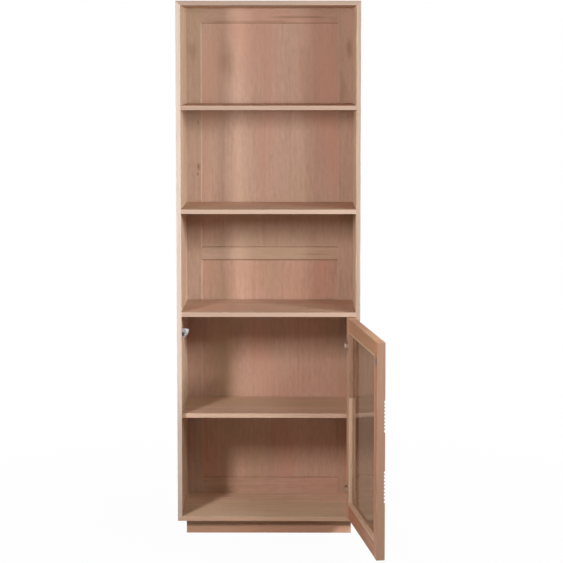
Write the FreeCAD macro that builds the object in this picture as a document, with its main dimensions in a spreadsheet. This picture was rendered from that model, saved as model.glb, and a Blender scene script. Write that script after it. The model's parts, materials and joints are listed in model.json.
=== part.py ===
"""A tall bookcase of pale solid wood: three open bays over a cupboard with one framed glass door.

Millimetres. X runs to the right, Y to the back and Z up, and the origin lies on the floor under the middle
of the carcass. The carcass is a mitred box on a recessed plinth, with a framed back in a rebate. The door
hangs on two concealed hinges at the right and stands open, as it does at rest.
"""

import FreeCAD, Part
import os
import re

import Sketcher

SIZES = {
    # Carcass boards and levels
    "overall_width": 650,
    "overall_depth": 400,
    "board": 16,
    "plinth_height": 50,
    "cupboard_height": 720,
    "bay_height": 350,
    "cupboard_shelf_rise": 352,
    "cupboard_shelf_setback": 31,
    "arris": 1.2,
    "glue_gap": 0.1,
    "tenon_cover": 5,
    "overshoot": 1,
    # Splines in the mitres and dowels in the shelf ends
    "spline_width": 14,
    "spline_thickness": 4,
    "dowel_radius": 4,
    "dowel_length": 30,
    "dowel_bite": 10,
    "dowel_margin": 50,
    # Framed back
    "back_recess": 8,
    "back_thickness": 18,
    "rebate": 8,
    "back_stile": 65,
    "back_top_rail": 64,
    "back_middle_rail": 52,
    "back_bottom_rail": 70,
    "back_tenon": 20,
    "back_tenon_thickness": 8,
    "frame_bevel": 4,
    "panel_thickness": 8,
    "panel_sink": 6,
    "panel_tongue": 8,
    "back_screw_length": 34,
    "back_screw_margin": 90,
    # Plinth
    "plinth_inset": 30,
    "plinth_board": 18,
    "corner_block": 32,
    "plinth_screw_length": 42,
    "plinth_screw_bite": 10,
    # Door frame and glass
    "door_gap": 2,
    "door_thickness": 28,
    "door_stile": 55,
    "door_top_rail": 55,
    "door_bottom_rail": 60,
    "door_tenon": 32,
    "door_tenon_thickness": 9,
    "door_shoulder": 10,
    "glass_thickness": 4,
    "glass_rebate": 10,
    "glass_play": 1,
    "bead_depth": 12,
    "bead_round": 5,
    "flute_pitch": 12,
    "flute_radius": 5.5,
    "flute_depth": 4,
    "grip_height": 124,
    # Concealed hinges
    "open_angle": 97.6,
    "open_stop": 110,
    "axis_from_edge": 4.5,
    "axis_from_face": 3.5,
    "hinge_from_end": 100,
    "cup_radius": 17.5,
    "cup_wall": 0.8,
    "cup_rim": 1.5,
    "cup_from_edge": 22.5,
    "flange_thickness": 1.2,
    "flange_width": 24,
    "flange_height": 62,
    "cup_screw_spread": 22.5,
    "neck_radius": 27.4,
    "neck_thickness": 2.5,
    "neck_width": 14,
    "neck_start": 86,
    "neck_overlap": 6,
    "foot_sweep": 5,
    "foot_width": 3.4,
    "slide_gap": 0.3,
    "arm_length": 58,
    "arm_rise": 9,
    "adjuster_back": 26.1,
    "fixing_back": 43.5,
    "plate_thickness": 3,
    "plate_height": 48,
    "plate_width": 18,
    "plate_wing": 26,
    "plate_lead": 8,
    "plate_line": 37,
    "plate_screw_spread": 16,
    "small_screw_radius": 1.75,
    "small_screw_head": 3.2,
    "small_screw_length": 13,
    # Magnetic catch
    "catch_drop": 61,
    "catch_reach": 24,
    "catch_height": 32,
    "catch_depth": 16,
    "catch_flange": 20,
    "catch_flange_thickness": 2,
    "catch_screw_spread": 8,
    "magnet_drop": 5,
    "magnet_radius": 5,
    "magnet_length": 12,
    "strike_width": 18,
    "strike_height": 22,
    "strike_thickness": 1.5,
    "catch_gap": 0.5,
    # Wood screws for the back and the plinth
    "screw_radius": 1.9,
    "screw_head": 3.7,
    "screw_head_depth": 3,
}

DOWELS_PER_END = 3
FLUTES_PER_BAND = 9
BACK_SCREWS_PER_SIDE = 5

# Lengths and levels that follow from the sizes above
WORKED_OUT = {
    "front": "-overall_depth / 2",
    "rear": "overall_depth / 2",
    "half_width": "overall_width / 2",
    "half_inside": "half_width - board",
    "back_face": "rear - back_recess - back_thickness",
    "floor_level": "plinth_height + board",
    "divider_level": "floor_level + cupboard_height",
    "bay_step": "bay_height + board",
    "overall_height": "divider_level + 3 * bay_step + board",
    "ceiling_level": "overall_height - board",
    "half_back": "half_inside + rebate - glue_gap",
    "back_low": "floor_level - rebate + glue_gap",
    "back_high": "ceiling_level + rebate - glue_gap",
    "back_middle": "(floor_level + ceiling_level) / 2",
    "half_back_opening": "half_back - back_stile",
    "panel_front": "back_face + panel_sink",
    "screw_line": "half_inside + rebate / 2",
    "half_plinth": "half_width - plinth_inset",
    "plinth_front_face": "front + plinth_inset",
    "plinth_rear_face": "rear - back_recess",
    "door_low": "floor_level + door_gap",
    "door_high": "divider_level - door_gap",
    "door_edge": "half_inside - door_gap",
    "door_inner": "front + door_thickness",
    "half_opening": "door_edge - door_stile",
    "opening_low": "door_low + door_bottom_rail",
    "opening_high": "door_high - door_top_rail",
    "door_middle": "(door_low + door_high) / 2",
    "bead_face": "door_inner - bead_depth",
    "tenon_margin": "glass_rebate + tenon_cover",
    "axis_x": "door_edge - axis_from_edge",
    "axis_y": "front + axis_from_face",
    "cup_x": "door_edge - cup_from_edge",
    "neck_sweep": "open_stop / 2 + neck_overlap",
    "foot_angle": "neck_start + neck_sweep + foot_sweep",
    "foot_x": "axis_x + neck_radius * cos(foot_angle)",
    "foot_y": "axis_y + neck_radius * sin(foot_angle)",
    "cup_floor": "foot_y - 2 * cup_wall",
    "cup_depth": "door_inner - cup_floor",
    "link_radius": "neck_radius + neck_thickness + slide_gap",
    "arm_radius": "link_radius + neck_thickness + slide_gap",
    "arm_front": "axis_y + arm_radius",
    "plate_face": "half_inside - plate_thickness",
    "plate_y": "door_inner + plate_line",
    "catch_front": "door_inner + strike_thickness + catch_gap",
    "catch_level": "divider_level - catch_drop",
    "magnet_x": "catch_reach / 2 - half_inside",
    "magnet_level": "catch_level - magnet_drop",
}

doc = FreeCAD.newDocument("GlazedBookcase")
sheet = doc.addObject("Spreadsheet::Sheet", "sizes")
for row, (alias, size) in enumerate(SIZES.items(), start=1):
    sheet.set(f"A{row}", alias)
    sheet.set(f"B{row}", str(size))
    sheet.setAlias(f"B{row}", alias)
doc.recompute()

nodes = []


def bind(text):
    """Spell a length out in the sheet's cells, with each worked-out length in brackets."""

    def spell(match):
        word = match.group(0)
        if word in WORKED_OUT:
            return "(" + bind(WORKED_OUT[word]) + ")"
        return "sizes." + word if word in SIZES else word

    return re.sub(r"[a-z][a-z_]+", spell, text)


def value(text):
    """The length that an expression gives now."""
    return float(sheet.evalExpression(bind(text)))


def place(piece, x, y, z):
    """Tie a piece's place to the sheet."""
    for letter, text in zip("xyz", (x, y, z)):
        piece.setExpression("Placement.Base." + letter, bind(text))


def box(x, y, z):
    """A squared block; each side is a start and a length."""
    block = doc.addObject("Part::Box", "Block")
    for name, side in zip(("Length", "Width", "Height"), (x, y, z)):
        block.setExpression(name, bind(side[1]))
    place(block, x[0], y[0], z[0])
    return block


TURNS = {
    "+x": FreeCAD.Rotation(FreeCAD.Vector(0, 1, 0), 90),
    "-x": FreeCAD.Rotation(FreeCAD.Vector(0, 1, 0), -90),
    "+y": FreeCAD.Rotation(FreeCAD.Vector(1, 0, 0), -90),
    "-y": FreeCAD.Rotation(FreeCAD.Vector(1, 0, 0), 90),
    "+z": FreeCAD.Rotation(),
}


def rod(at, heading, radius, length):
    """A round bar that starts at a point and runs along a heading."""
    bar = doc.addObject("Part::Cylinder", "Rod")
    bar.Placement = FreeCAD.Placement(FreeCAD.Vector(), TURNS[heading])
    bar.setExpression("Radius", bind(radius))
    bar.setExpression("Height", bind(length))
    place(bar, *at)
    return bar


def taper(at, heading, wide, narrow, length):
    """A cone from a wide end to a narrow one."""
    cone = doc.addObject("Part::Cone", "Taper")
    cone.Placement = FreeCAD.Placement(FreeCAD.Vector(), TURNS[heading])
    cone.setExpression("Radius1", bind(wide))
    cone.setExpression("Radius2", bind(narrow))
    cone.setExpression("Height", bind(length))
    place(cone, *at)
    return cone


def fuse(pieces):
    """Join solids into one, or lay separate ones together as one tool."""
    if len(pieces) == 1:
        return pieces[0]
    joined = doc.addObject("Part::MultiFuse", "Joined")
    joined.Shapes = pieces
    return joined


def cut(base, tools):
    """Take tools away from a solid."""
    left = doc.addObject("Part::Cut", "Shaped")
    left.Base = base
    left.Tool = fuse(tools)
    return left


def eased(base, picked, radius="arris"):
    """Round the edges that a test picks."""
    doc.recompute()
    size = value(radius)
    rounded = doc.addObject("Part::Fillet", "Eased")
    rounded.Base = base
    edges = enumerate(base.Shape.Edges, start=1)
    rounded.Edges = [(number, size, size) for number, edge in edges if picked(edge)]
    return rounded


def runs(edge, axis):
    """Whether a straight edge runs along an axis."""
    first, last = (vertex.Point for vertex in (edge.Vertexes[0], edge.Vertexes[-1]))
    along = last - first
    return abs(along[axis]) > 0.999 * along.Length > 0


def at_front(edge):
    """Whether a long edge lies on the front plane."""
    level = value("front")
    flat = all(abs(vertex.Point.y - level) < 1e-6 for vertex in edge.Vertexes)
    return flat and edge.Length > 2 * value("board") and (runs(edge, 0) or runs(edge, 2))


def group(pieces):
    """Lay like pieces together as separate solids of one node."""
    together = doc.addObject("Part::Compound", "Set")
    together.Links = pieces
    return together


def node(label, piece, swing=None):
    """Name a finished sub-part, and turn it about the door's axis if it hangs there."""
    piece.Label = label
    if swing is not None:
        angle = f"open_angle * {swing}"
        upright = FreeCAD.Rotation(FreeCAD.Vector(0, 0, 1), value(angle))
        piece.Placement = FreeCAD.Placement(FreeCAD.Vector(), upright)
        piece.setExpression("Placement.Rotation.Angle", bind(angle))
        piece.setExpression(
            "Placement.Base.x", bind(f"axis_x * (1 - cos({angle})) + axis_y * sin({angle})")
        )
        piece.setExpression(
            "Placement.Base.y", bind(f"axis_y * (1 - cos({angle})) - axis_x * sin({angle})")
        )
    nodes.append(piece)
    return piece


def profile(role, corners, length, start):
    """A solid whose outline, tied to the sheet, lies on an origin plane and is pushed along its normal."""
    body = doc.addObject("PartDesign::Body", "Body")
    sketch = body.newObject("Sketcher::SketchObject", "Outline")
    plane = next(feature for feature in body.Origin.OriginFeatures if feature.Role == role)
    sketch.AttachmentSupport = [(plane, "")]
    sketch.MapMode = "FlatFace"
    spots = [FreeCAD.Vector(value(across), value(up), 0) for across, up in corners]
    count = len(spots)
    for corner in range(count):
        sketch.addGeometry(Part.LineSegment(spots[corner], spots[(corner + 1) % count]))
    for corner in range(count):
        sketch.addConstraint(Sketcher.Constraint("Coincident", corner, 2, (corner + 1) % count, 1))
    for corner, texts in enumerate(corners):
        for kind, text in zip(("DistanceX", "DistanceY"), texts):
            rule = Sketcher.Constraint(kind, -1, 1, corner, 1, value(text))
            index = sketch.addConstraint(rule)
            sketch.setExpression(f"Constraints[{index}]", bind(text))
    pad = body.newObject("PartDesign::Pad", "Pad")
    pad.Profile = sketch
    pad.setExpression("Length", bind(length))
    pad.Reversed = role == "XZ_Plane"
    place(body, *start)
    body.Tip = pad
    return body


def screw(at, heading, radius, head, head_depth, length):
    """A countersunk screw from the middle of its head along its heading."""
    return fuse(
        [rod(at, heading, radius, length), taper(at, heading, head, radius, head_depth)]
    )


# Mitred box: two sides, a top and a bottom, with a rebate for the back and a spline in each mitre

UP = {
    "side": [
        ("half_width", "plinth_height"),
        ("half_inside", "floor_level"),
        ("half_inside", "ceiling_level"),
        ("half_width", "overall_height"),
    ],
    "top": [
        ("-half_width", "overall_height"),
        ("-half_inside", "ceiling_level"),
        ("half_inside", "ceiling_level"),
        ("half_width", "overall_height"),
    ],
    "bottom": [
        ("-half_width", "plinth_height"),
        ("-half_inside", "floor_level"),
        ("half_inside", "floor_level"),
        ("half_width", "plinth_height"),
    ],
}


def carcass_board(corners):
    """A mitred board with its front arrises eased."""
    board = profile("XZ_Plane", corners, "overall_depth", ("0", "front", "0"))
    return eased(board, at_front)


def mirrored(corners):
    """The same outline on the other side of the middle."""
    return [(f"-({across})", up) for across, up in corners]


def spline(side, level, tilt, play):
    """A loose tongue square across a mitre, or with play its slot; it stops short of both ends."""
    tongue = doc.addObject("Part::Box", "Spline")
    tongue.Placement = FreeCAD.Placement(
        FreeCAD.Vector(), FreeCAD.Rotation(FreeCAD.Vector(0, 1, 0), tilt)
    )
    long = f"(spline_width + 2 * {play})"
    thick = f"(spline_thickness + 2 * {play})"
    tongue.setExpression("Length", bind(long))
    tongue.setExpression("Height", bind(thick))
    tongue.setExpression("Width", bind(f"overall_depth - 2 * dowel_margin + 2 * {play}"))
    # The middle of the tongue sits on the middle of the mitre
    middle_x = f"{side} * (half_width - board / 2)"
    across = f"({long} * cos({tilt}) + {thick} * sin({tilt})) / 2"
    rise = f"(-{long} * sin({tilt}) + {thick} * cos({tilt})) / 2"
    place(
        tongue,
        f"{middle_x} - {across}",
        f"front + dowel_margin - {play}",
        f"{level} - {rise}",
    )
    return tongue


MITRES = [
    (-1, "overall_height - board / 2", 45),
    (1, "overall_height - board / 2", -45),
    (-1, "plinth_height + board / 2", -45),
    (1, "plinth_height + board / 2", 45),
]
SHELF_LEVELS = {
    "cupboard_shelf": "floor_level + cupboard_shelf_rise",
    "divider_shelf": "divider_level",
    "middle_shelf": "divider_level + bay_step",
    "upper_shelf": "divider_level + 2 * bay_step",
}


def shelf_front(name):
    """Where a shelf's front edge lies: only the one behind the door is set back."""
    return "front + cupboard_shelf_setback" if name == "cupboard_shelf" else "front"


def dowel_spots(name):
    """Depths of the dowels along one end of a shelf."""
    lead = f"({shelf_front(name)} + dowel_margin)"
    span = f"(back_face - dowel_margin - {lead})"
    last = DOWELS_PER_END - 1
    return [f"{lead} + {span} * {number} / {last}" for number in range(DOWELS_PER_END)]


def dowels(name, side, play):
    """The dowels in one end of a shelf, or with play their holes."""
    level = f"{SHELF_LEVELS[name]} + board / 2"
    start = f"half_inside + dowel_bite + {play}"
    heading = "-x" if side > 0 else "+x"
    return [
        rod((f"{side} * ({start})", depth, level), heading, f"dowel_radius + {play}",
            f"dowel_length + 2 * {play}")
        for depth in dowel_spots(name)
    ]


def back_screw_spots():
    """Where the back is screwed to the rebate's shoulder: up both sides and twice along top and bottom."""
    low = "(back_low + back_screw_margin)"
    span = f"(back_high - back_screw_margin - {low})"
    spots = []
    for number in range(BACK_SCREWS_PER_SIDE):
        level = f"{low} + {span} * {number} / {BACK_SCREWS_PER_SIDE - 1}"
        spots += [("-screw_line", level), ("screw_line", level)]
    for level in ("floor_level - rebate / 2", "ceiling_level + rebate / 2"):
        spots += [("-half_back_opening / 2", level), ("half_back_opening / 2", level)]
    return spots


BACK_SCREW_START = "back_face + back_thickness"


def back_screws(play):
    """The screws of the back, or with play their holes."""
    return [
        screw((across, BACK_SCREW_START, level), "-y", f"screw_radius + {play}",
              f"screw_head + {play}", "screw_head_depth", f"back_screw_length + {play}")
        for across, level in back_screw_spots()
    ]


CORNERS = [(sideways, depth) for sideways in ("-1", "1") for depth in ("front", "rear")]


def corner_block_start(sideways, depth):
    """The low corner of a block inside a corner of the plinth."""
    across = "-half_plinth + plinth_board"
    if sideways == "1":
        across = "half_plinth - plinth_board - corner_block"
    if depth == "front":
        return across, "plinth_front_face + plinth_board"
    return across, "plinth_rear_face - plinth_board - corner_block"


def plinth_screws(play):
    """The screws up through the corner blocks, or with play their holes."""
    made = []
    for sideways, depth in CORNERS:
        across, back = corner_block_start(sideways, depth)
        low = "plinth_height + plinth_screw_bite - plinth_screw_length"
        at = (f"{across} + corner_block / 2", f"{back} + corner_block / 2", low)
        made.append(screw(at, "+z", f"screw_radius + {play}", f"screw_head + {play}",
                          "screw_head_depth", f"plinth_screw_length + {play}"))
        if play != "0":
            well = (at[0], at[1], "-overshoot")
            made.append(rod(well, "+z", f"screw_head + {play}", f"{low} + overshoot"))
    return made


def hinge_levels():
    """Heights of the two hinges."""
    return {
        "upper": "door_high - hinge_from_end",
        "lower": "door_low + hinge_from_end",
    }


def pair(level, spread):
    """Two heights, either side of a level."""
    return [f"{level} - {spread}", f"{level} + {spread}"]


def small_screw(at, heading, play):
    """A short countersunk screw, or with play its hole."""
    return screw(at, heading, f"small_screw_radius + {play}", f"small_screw_head + {play}",
                 "small_screw_head - small_screw_radius", f"small_screw_length + {play}")


def plate_screws(play):
    """The screws of both hinge plates, or with play their holes."""
    return [
        small_screw(("plate_face", "plate_y", height), "+x", play)
        for level in hinge_levels().values()
        for height in pair(level, "plate_screw_spread")
    ]


def catch_screws(play):
    """The two screws of the catch, or with play their holes."""
    depth = "catch_front + catch_depth + catch_flange / 2"
    start = "catch_flange_thickness - half_inside"
    return [
        small_screw((start, depth, height), "-x", play)
        for height in pair("catch_level", "catch_screw_spread")
    ]


REBATE = box(
    ("-half_inside - rebate", "2 * (half_inside + rebate)"),
    ("back_face", "overall_depth"),
    ("floor_level - rebate", "ceiling_level - floor_level + 2 * rebate"),
)
slots = [spline(*mitre, "glue_gap") for mitre in MITRES]
back_holes = back_screws("glue_gap")
side_holes = {
    side: [hole for name in SHELF_LEVELS for hole in dowels(name, side, "glue_gap")]
    for side in (-1, 1)
}
node("left_side_panel", cut(
    carcass_board(mirrored(UP["side"])),
    [REBATE, *slots, *side_holes[-1], *back_holes, *catch_screws("glue_gap")],
))
node("right_side_panel", cut(
    carcass_board(UP["side"]),
    [REBATE, *slots, *side_holes[1], *back_holes, *plate_screws("glue_gap")],
))
node("top_panel", cut(carcass_board(UP["top"]), [REBATE, *slots, *back_holes]))
node("bottom_panel", cut(
    carcass_board(UP["bottom"]), [REBATE, *slots, *back_holes, *plinth_screws("glue_gap")],
))
node("mitre_splines", group([spline(*mitre, "0") for mitre in MITRES]))

# Shelves: three fixed flush with the front, and one set back behind the door, all on dowels

for shelf, level in SHELF_LEVELS.items():
    lead = shelf_front(shelf)
    slab = box(
        ("-half_inside", "2 * half_inside"), (lead, f"back_face - ({lead})"), (level, "board"),
    )
    doc.recompute()
    nose = value(lead)
    slab = eased(slab, lambda edge: runs(edge, 0) and abs(edge.Vertexes[0].Point.y - nose) < 1e-6)
    holes = [hole for side in (-1, 1) for hole in dowels(shelf, side, "glue_gap")]
    node(shelf, cut(slab, holes))
node("shelf_dowels", group(
    [dowel for name in SHELF_LEVELS for side in (-1, 1) for dowel in dowels(name, side, "0")]
))

# Framed back: stiles and rails joined by stub tenons, bevelled round two glued-up panels in grooves

RAILS = {
    "back_top_rail": ("back_high - back_top_rail", "back_top_rail"),
    "back_middle_rail": ("back_middle - back_middle_rail / 2", "back_middle_rail"),
    "back_bottom_rail": ("back_low", "back_bottom_rail"),
}
BACK_DEPTH = ("back_face", "back_thickness")
TENON_DEPTH = "back_face + (back_thickness - back_tenon_thickness) / 2"


def back_tenon(low, tall, play):
    """A rail's tenons in one bar between the stiles, or with play the mortises for them."""
    reach = f"half_back_opening + back_tenon + {play}"
    return box(
        (f"-({reach})", f"2 * ({reach})"),
        (f"{TENON_DEPTH} - {play}", f"back_tenon_thickness + 2 * {play}"),
        (f"{low} + panel_tongue + tenon_cover - {play}",
         f"{tall} - 2 * (panel_tongue + tenon_cover) + 2 * {play}"),
    )


PANEL_LEVELS = {
    "back_lower_panel": ("back_low + back_bottom_rail", "back_middle - back_middle_rail / 2"),
    "back_upper_panel": ("back_middle + back_middle_rail / 2", "back_high - back_top_rail"),
}


def panel_groove(low, high):
    """The groove that takes a panel's edges, all round its opening."""
    reach = "half_back_opening + panel_tongue + glue_gap"
    return box(
        (f"-({reach})", f"2 * ({reach})"),
        ("panel_front - glue_gap", "panel_thickness + 2 * glue_gap"),
        (f"{low} - panel_tongue - glue_gap", f"{high} - ({low}) + 2 * panel_tongue + 2 * glue_gap"),
    )


def frame_bevel(low, high):
    """The bevel that softens the frame's front edges, all round a panel."""
    bevel = doc.addObject("Part::Wedge", "Bevel")
    wide = "half_back_opening + 2 * frame_bevel"
    limits = {
        "Xmin": f"-({wide})",
        "Xmax": wide,
        "X2min": "-half_back_opening",
        "X2max": "half_back_opening",
        "Ymin": "back_face - frame_bevel",
        "Ymax": "back_face + frame_bevel",
        "Zmin": f"{low} - 2 * frame_bevel",
        "Zmax": f"{high} + 2 * frame_bevel",
        "Z2min": low,
        "Z2max": high,
    }
    for name, limit in limits.items():
        bevel.setExpression(name, bind(limit))
    return bevel


grooves = [panel_groove(*levels) for levels in PANEL_LEVELS.values()]
bevels = [frame_bevel(*levels) for levels in PANEL_LEVELS.values()]
mortises = [back_tenon(*levels, "glue_gap") for levels in RAILS.values()]
for label, start in (("back_left_stile", "-half_back"), ("back_right_stile", "half_back_opening")):
    stile = box((start, "back_stile"), BACK_DEPTH, ("back_low", "back_high - back_low"))
    node(label, cut(stile, [*grooves, *bevels, *mortises, *back_holes]))
for label, (low, tall) in RAILS.items():
    rail = box(("-half_back_opening", "2 * half_back_opening"), BACK_DEPTH, (low, tall))
    node(label, cut(fuse([rail, back_tenon(low, tall, "0")]), [*grooves, *bevels, *back_holes]))


for label, (low, high) in PANEL_LEVELS.items():
    reach = "half_back_opening + panel_tongue"
    panel = box(
        (f"-({reach})", f"2 * ({reach})"),
        ("panel_front", "panel_thickness"),
        (f"{low} - panel_tongue", f"{high} - ({low}) + 2 * panel_tongue"),
    )
    node(label, panel)
node("back_screws", group(back_screws("0")))

# Recessed plinth: four boards, a brace across the middle and glued blocks in the corners

UPRIGHT = ("0", "plinth_height")
WIDE = ("-half_plinth", "2 * half_plinth")
LONG = (
    "plinth_front_face + plinth_board",
    "plinth_rear_face - plinth_front_face - 2 * plinth_board",
)
node("plinth_front", eased(
    box(WIDE, ("plinth_front_face", "plinth_board"), UPRIGHT),
    lambda edge: runs(edge, 2) and edge.Vertexes[0].Point.y < value("plinth_front_face") + 1e-6,
))
node("plinth_back", box(WIDE, ("plinth_rear_face - plinth_board", "plinth_board"), UPRIGHT))
node("plinth_left", box(("-half_plinth", "plinth_board"), LONG, UPRIGHT))
node("plinth_right", box(("half_plinth - plinth_board", "plinth_board"), LONG, UPRIGHT))
node("plinth_brace", box(("-plinth_board / 2", "plinth_board"), LONG, UPRIGHT))
blocks = []
for sideways, depth in CORNERS:
    across, back = corner_block_start(sideways, depth)
    blocks.append(box((across, "corner_block"), (back, "corner_block"), UPRIGHT))
drills = plinth_screws("glue_gap")
node("plinth_corner_blocks", group([cut(block, drills) for block in blocks]))
node("plinth_screws", group(plinth_screws("0")))

# Magnetic catch on the left wall, behind the free stile

housing = box(
    ("-half_inside", "catch_reach"),
    ("catch_front", "catch_depth"),
    ("catch_level - catch_height / 2", "catch_height"),
)
housing = eased(housing, lambda edge: edge.Vertexes[0].Point.x > 1e-6 - value("half_inside"))
flange = box(
    ("-half_inside", "catch_flange_thickness"),
    ("catch_front + catch_depth / 2", "catch_depth / 2 + catch_flange"),
    ("catch_level - catch_height / 2", "catch_height"),
)
MAGNET_AT = ("magnet_x", "catch_front", "magnet_level")
magnet_hole = rod(MAGNET_AT, "+y", "magnet_radius + glue_gap", "magnet_length + glue_gap")
node("catch_housing", cut(fuse([housing, flange]), [magnet_hole, *catch_screws("glue_gap")]))
node("catch_magnet", rod(MAGNET_AT, "+y", "magnet_radius", "magnet_length"))
node("catch_screws", group(catch_screws("0")))

# Concealed hinges: a plate and arm on the right wall, a cup in the door, and a bent link between them.
# The necks of arm, link and cup are nested arcs about the door's axis, so that they slide on each other.


def neck(level, radius, sweep="neck_sweep"):
    """An arc of flat bar about the door's axis, with the door shut."""

    def sector(size, start, turn):
        wedge = doc.addObject("Part::Cylinder", "Sector")
        upright = FreeCAD.Rotation(FreeCAD.Vector(0, 0, 1), value(start))
        wedge.Placement = FreeCAD.Placement(FreeCAD.Vector(), upright)
        wedge.setExpression("Placement.Rotation.Angle", bind(start))
        wedge.setExpression("Radius", bind(size))
        wedge.setExpression("Height", bind("neck_width"))
        wedge.setExpression("Angle", bind(turn))
        place(wedge, "axis_x", "axis_y", f"{level} - neck_width / 2")
        return wedge

    outside = sector(f"{radius} + neck_thickness", "neck_start", sweep)
    inside = sector(radius, "neck_start - overshoot", f"{sweep} + 2 * overshoot")
    return cut(outside, [inside])


def arm_screws(level, play):
    """The adjusting and fixing screws on an arm, or with play their holes."""
    return [
        rod(("plate_face - arm_rise - overshoot", f"arm_front + {back}", level), "+x",
            f"small_screw_head + {play}", "arm_rise - overshoot")
        for back in ("adjuster_back", "fixing_back")
    ]


def cup_screws(level, play):
    """The two screws of a cup's flange, or with play their holes."""
    return [
        small_screw(("cup_x - cup_radius / 2", "door_inner + flange_thickness", height), "-y", play)
        for height in pair(level, "cup_screw_spread")
    ]


def hinge_cup(level):
    """A pressed cup with a flange on the door's inner face and a neck out of its floor."""
    shell = rod(("cup_x", "cup_floor", level), "+y", "cup_radius", "cup_depth")
    ears = box(
        ("cup_x - cup_radius / 2 - flange_width / 2", "flange_width"),
        ("door_inner", "flange_thickness"),
        (f"{level} - flange_height / 2", "flange_height"),
    )
    ears = eased(ears, lambda edge: runs(edge, 1), "flange_width / 4")
    ring = rod(("cup_x", "door_inner", level), "+y", "cup_radius + cup_rim", "flange_thickness")
    hollow = rod(("cup_x", "cup_floor + cup_wall", level), "+y", "cup_radius - cup_wall", "2 * cup_depth")
    dish = cut(fuse([shell, ears, ring]), [hollow, *cup_screws(level, "glue_gap")])
    foot = box(
        ("foot_x - foot_width / 2", "foot_width"),
        ("cup_floor", "foot_y - cup_floor + neck_thickness / 2"),
        (f"{level} - neck_width / 2", "neck_width"),
    )
    return fuse([dish, neck(level, "neck_radius", "neck_sweep + foot_sweep"), foot])


for name, level in hinge_levels().items():
    plate = box(
        ("plate_face", "plate_thickness"),
        ("plate_y - plate_wing / 2", "plate_wing"),
        (f"{level} - plate_height / 2", "plate_height"),
    )
    plate = eased(plate, lambda edge: runs(edge, 0), "plate_wing / 6")
    spine = box(
        ("plate_face", "plate_thickness"),
        ("arm_front + plate_lead", "arm_length - plate_lead"),
        (f"{level} - plate_width / 2", "plate_width"),
    )
    node(f"{name}_hinge_plate", cut(fuse([plate, spine]), plate_screws("glue_gap")))
    arm = box(
        ("plate_face - arm_rise", "arm_rise"),
        ("arm_front", "arm_length"),
        (f"{level} - neck_width / 2", "neck_width"),
    )
    bent = fuse([arm, neck(level, "arm_radius")])
    node(f"{name}_hinge_arm", cut(bent, arm_screws(level, "glue_gap")))
    node(f"{name}_hinge_link", neck(level, "link_radius"), swing="0.5")
    node(f"{name}_hinge_cup", hinge_cup(level), swing="1")
levels = hinge_levels().values()
node("hinge_plate_screws", group(plate_screws("0")))
node("hinge_arm_screws", group([piece for level in levels for piece in arm_screws(level, "0")]))
node("hinge_cup_screws", group([piece for level in levels for piece in cup_screws(level, "0")]), swing="1")

# Door: a frame of two stiles and two rails with through-cut rebates, drawn shut and then swung open

DOOR_DEPTH = ("front", "door_thickness")
DOOR_RAILS = {
    "door_top_rail": ("opening_high", "door_top_rail", "opening_high + tenon_margin"),
    "door_bottom_rail": ("door_low", "door_bottom_rail", "door_low + door_shoulder"),
}


def door_tenon(rail, play):
    """The tenons of a door rail in one bar, or with play their mortises."""
    tall, start = DOOR_RAILS[rail][1:]
    reach = f"half_opening + door_tenon + {play}"
    return box(
        (f"-({reach})", f"2 * ({reach})"),
        (f"front + (door_thickness - door_tenon_thickness) / 2 - {play}",
         f"door_tenon_thickness + 2 * {play}"),
        (f"{start} - {play}", f"{tall} - tenon_margin - door_shoulder + 2 * {play}"),
    )


glass_seat = box(
    ("-half_opening - glass_rebate", "2 * (half_opening + glass_rebate)"),
    ("bead_face - glass_thickness", "door_thickness"),
    ("opening_low - glass_rebate", "opening_high - opening_low + 2 * glass_rebate"),
)
door_mortises = [door_tenon(rail, "glue_gap") for rail in DOOR_RAILS]


def door_stile(start):
    """A stile with its long arrises eased."""
    bar = box((start, "door_stile"), DOOR_DEPTH, ("door_low", "door_high - door_low"))
    return eased(bar, lambda edge: runs(edge, 2))


def flutes():
    """Round grooves across the outer face of the free stile, in two bands with a plain grip between."""
    made = []
    for band in (-1, 1):
        for number in range(FLUTES_PER_BAND):
            height = f"door_middle + {band} * (grip_height / 2 + flute_pitch * {number + 0.5})"
            at = ("-door_edge - overshoot", "front - flute_radius + flute_depth", height)
            made.append(rod(at, "+x", "flute_radius", "door_stile + 2 * overshoot"))
    return made


cup_levels = list(hinge_levels().values())
cup_bores = [
    rod(("cup_x", "cup_floor - glue_gap", level), "+y", "cup_radius + glue_gap", "2 * cup_depth")
    for level in cup_levels
]
cup_holes = [hole for level in cup_levels for hole in cup_screws(level, "glue_gap")]
STRIKE_AT = ("magnet_x", "door_inner + strike_thickness", "magnet_level")
node("door_hinge_stile", cut(
    door_stile("half_opening"), [glass_seat, *door_mortises, *cup_bores, *cup_holes],
), swing="1")
node("door_free_stile", cut(
    door_stile("-door_edge"),
    [glass_seat, *door_mortises, *flutes(), small_screw(STRIKE_AT, "-y", "glue_gap")],
), swing="1")
for label, levels in DOOR_RAILS.items():
    rail = box(("-half_opening", "2 * half_opening"), DOOR_DEPTH, levels[:2])
    rail = eased(rail, lambda edge: runs(edge, 0))
    node(label, cut(fuse([rail, door_tenon(label, "0")]), [glass_seat]), swing="1")
pane = box(
    ("-half_opening - glass_rebate + glass_play", "2 * (half_opening + glass_rebate - glass_play)"),
    ("bead_face - glass_thickness", "glass_thickness"),
    ("opening_low - glass_rebate + glass_play",
     "opening_high - opening_low + 2 * (glass_rebate - glass_play)"),
)
node("door_glass", eased(pane, lambda edge: runs(edge, 1), "glass_play"), swing="1")

# Glazing beads: four mitred strips that hold the glass from the inside, rounded towards the glass

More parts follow.
